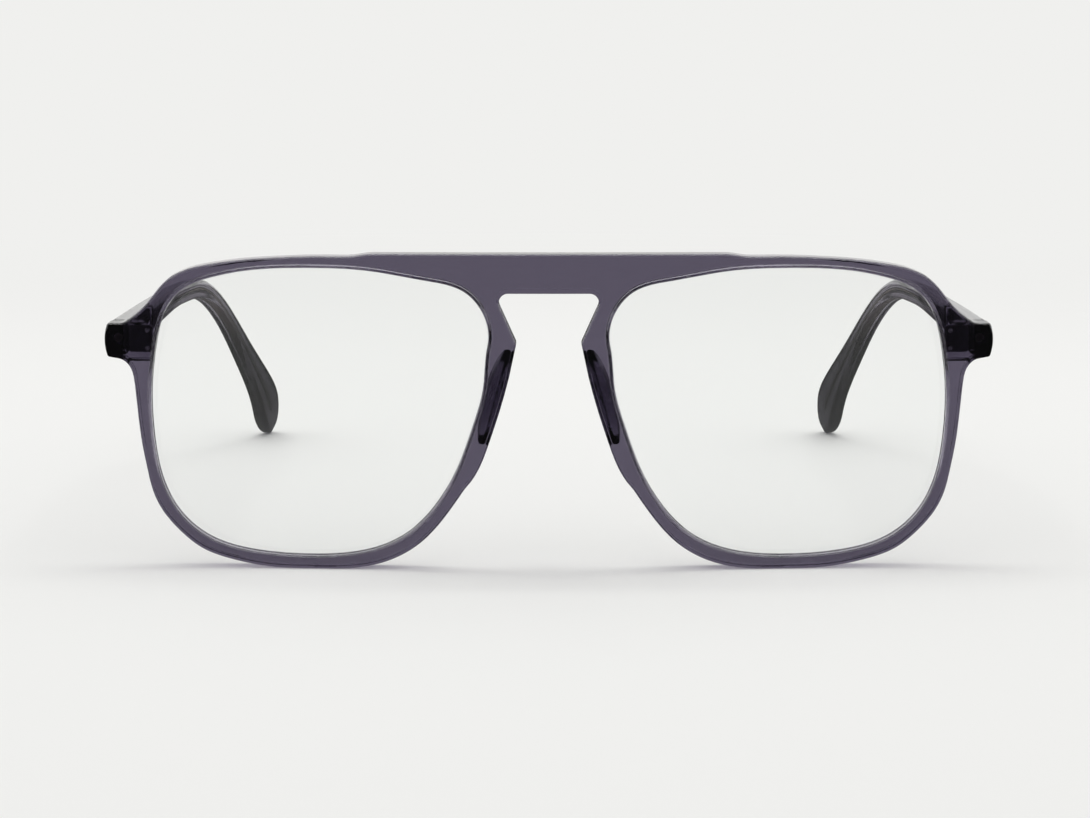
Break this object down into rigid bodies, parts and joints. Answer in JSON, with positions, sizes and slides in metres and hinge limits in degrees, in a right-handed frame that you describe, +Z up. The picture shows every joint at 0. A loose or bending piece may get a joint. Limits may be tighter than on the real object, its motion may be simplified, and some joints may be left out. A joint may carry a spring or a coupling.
{
  "type": "eyeglasses",
  "caption": "Translucent acetate eyeglasses with a straight brow bar over an open keyhole bridge, clear lenses and folding temples.",
  "frame": {"origin": "middle of the footprint at the floor, where both rims and both temple tips stand", "axes": "+X to the right as the front is seen, +Y from the front towards the temple tips, +Z up"},
  "size_m": [0.1444, 0.1412, 0.0517],
  "materials": {
    "acetate": "polished, smoky translucent",
    "lens": "clear, uncoated",
    "hinge_metal": "satin",
    "core_wire": "drawn"
  },
  "bodies": {
    "front": {"front_frame": "acetate", "lens_left": "lens", "lens_right": "lens", "nose_pad_left": "acetate", "nose_pad_right": "acetate", "hinge_front_leaf_left": "hinge_metal", "hinge_front_leaf_right": "hinge_metal", "hinge_screw_left": "hinge_metal", "hinge_screw_right": "hinge_metal", "front_leaf_rivets_left": "hinge_metal", "front_leaf_rivets_right": "hinge_metal"},
    "left_temple": {"temple_left": "acetate", "temple_core_left": "core_wire", "hinge_temple_leaf_left": "hinge_metal", "temple_leaf_rivets_left": "hinge_metal"},
    "right_temple": {"temple_right": "acetate", "temple_core_right": "core_wire", "hinge_temple_leaf_right": "hinge_metal", "temple_leaf_rivets_right": "hinge_metal"}
  },
  "joints": [
    {"name": "right_temple_fold", "type": "hinge", "parent": "front", "child": "right_temple", "pos_m": [0.06705, -0.0609, 0.03735], "axis": [0, 0, 1], "range_deg": [0, 86]},
    {"name": "left_temple_fold", "type": "hinge", "parent": "front", "child": "left_temple", "pos_m": [-0.06705, -0.0609, 0.03735], "axis": [0, 0, -1], "range_deg": [0, 82]}
  ]
}
